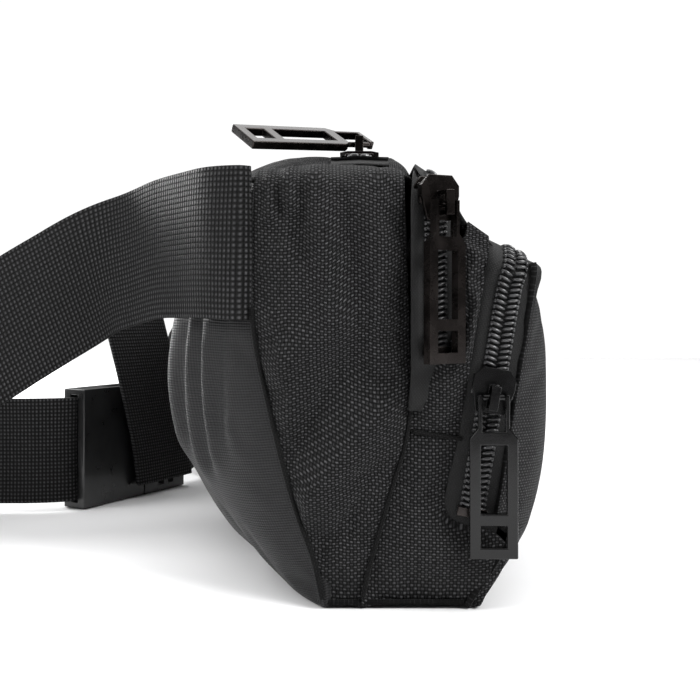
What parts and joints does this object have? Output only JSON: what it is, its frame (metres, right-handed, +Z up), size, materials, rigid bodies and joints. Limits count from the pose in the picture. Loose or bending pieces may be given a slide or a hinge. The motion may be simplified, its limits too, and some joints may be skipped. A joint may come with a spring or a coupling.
{
  "type": "waist pack",
  "caption": "Soft black waist pack with a padded back, zipped compartments, a zipped front pocket and a webbing belt closed by a side-release buckle.",
  "frame": {"origin": "middle of the flat bottom face", "axes": "+Z up; X along the bag's long side, -X is the end where the belt is sewn in nearest the sliders; -Y is the pocket side, +Y the wearer's side"},
  "size_m": [0.2913, 0.2191, 0.1242],
  "materials": {
    "nylon_cloth": "coarse plain weave, coated back",
    "back_mesh": "ribbed soft mesh",
    "foam": "closed-cell foam",
    "lining": "thin plain weave",
    "binding": "narrow woven tape",
    "zip_tape": "fine herringbone weave",
    "zip_coil": "semi-gloss",
    "dark_metal": "dark plated, polished",
    "black_gloss_metal": "gloss enamel",
    "webbing": "coarse ribbed weave",
    "elastic": "knitted elastic",
    "buckle_plastic": "moulded, gloss"
  },
  "bodies": {
    "bag": {"bottom_panel": "nylon_cloth", "near_end_gusset": "nylon_cloth", "far_end_gusset": "nylon_cloth", "rear_top_panel": "nylon_cloth", "front_top_panel": "nylon_cloth", "front_wall": "nylon_cloth", "pocket_front_panel": "nylon_cloth", "pocket_bottom": "nylon_cloth", "pocket_top": "nylon_cloth", "near_pocket_gusset": "nylon_cloth", "far_pocket_gusset": "nylon_cloth", "near_lower_gusset": "nylon_cloth", "far_lower_gusset": "nylon_cloth", "near_corner_strip": "nylon_cloth", "far_corner_strip": "nylon_cloth", "far_front_corner": "nylon_cloth", "back_cover": "back_mesh", "back_foam": "foam", "divider": "lining", "near_seam_piping": "binding", "far_seam_piping": "binding", "main_zip_tape": "zip_tape", "second_zip_tape": "zip_tape", "pocket_zip_tape": "zip_tape", "main_zip_coil": "zip_coil", "second_zip_coil": "zip_coil", "pocket_zip_coil": "zip_coil", "main_zip_stops": "dark_metal", "second_zip_stop": "dark_metal", "pocket_zip_stop": "dark_metal", "near_strap": "webbing", "far_strap": "webbing", "strap_keeper": "elastic", "buckle_socket": "buckle_plastic"},
    "main_slider": {"main_slider": "dark_metal"},
    "main_pull": {"main_pull": "dark_metal"},
    "second_slider": {"second_slider": "dark_metal"},
    "second_pull": {"second_pull": "dark_metal"},
    "pocket_slider": {"pocket_slider": "black_gloss_metal"},
    "pocket_pull": {"pocket_pull": "black_gloss_metal"},
    "plug": {"buckle_plug": "buckle_plastic", "strap_tail": "webbing"},
    "upper_prong": {"upper_prong": "buckle_plastic"},
    "lower_prong": {"lower_prong": "buckle_plastic"}
  },
  "joints": [
    {"name": "main_zip_slide", "type": "slide", "parent": "bag", "child": "main_slider", "axis": [1, 0, 0], "range_m": [0, 0.225]},
    {"name": "main_pull_flip", "type": "hinge", "parent": "main_slider", "child": "main_pull", "pos_m": [-0.113, -0.0025, 0.11865], "axis": [0.5878, -0.809, 0], "range_deg": [0, 150]},
    {"name": "second_zip_slide", "type": "slide", "parent": "bag", "child": "second_slider", "axis": [0, 0, -1], "range_m": [0, 0.029]},
    {"name": "second_pull_lift", "type": "hinge", "parent": "second_slider", "child": "second_pull", "pos_m": [-0.14514, -0.02287, 0.0995], "axis": [-0.6018, 0.7986, 0], "range_deg": [0, 130]},
    {"name": "pocket_zip_slide", "type": "slide", "parent": "bag", "child": "pocket_slider", "axis": [0, -0.165, 0.9863], "range_m": [-0.01, 0.021]},
    {"name": "pocket_pull_lift", "type": "hinge", "parent": "pocket_slider", "child": "pocket_pull", "pos_m": [-0.1446, -0.03465, 0.05252], "axis": [0, 1, 0], "range_deg": [0, 110]},
    {"name": "plug_slide", "type": "slide", "parent": "bag", "child": "plug", "axis": [0.8829, -0.4695, 0], "range_m": [0, 0.018], "deforming": ["far_strap"]},
    {"name": "upper_prong_press", "type": "hinge", "parent": "plug", "child": "upper_prong", "pos_m": [0.01774, 0.08495, 0.0353], "axis": [-0.4695, -0.8829, 0], "range_deg": [0, 7], "stiffness_Nm_per_rad": 0.05},
    {"name": "lower_prong_press", "type": "hinge", "parent": "plug", "child": "lower_prong", "pos_m": [0.01774, 0.08495, 0.0093], "axis": [0.4695, 0.8829, 0], "range_deg": [0, 7], "stiffness_Nm_per_rad": 0.05}
  ]
}
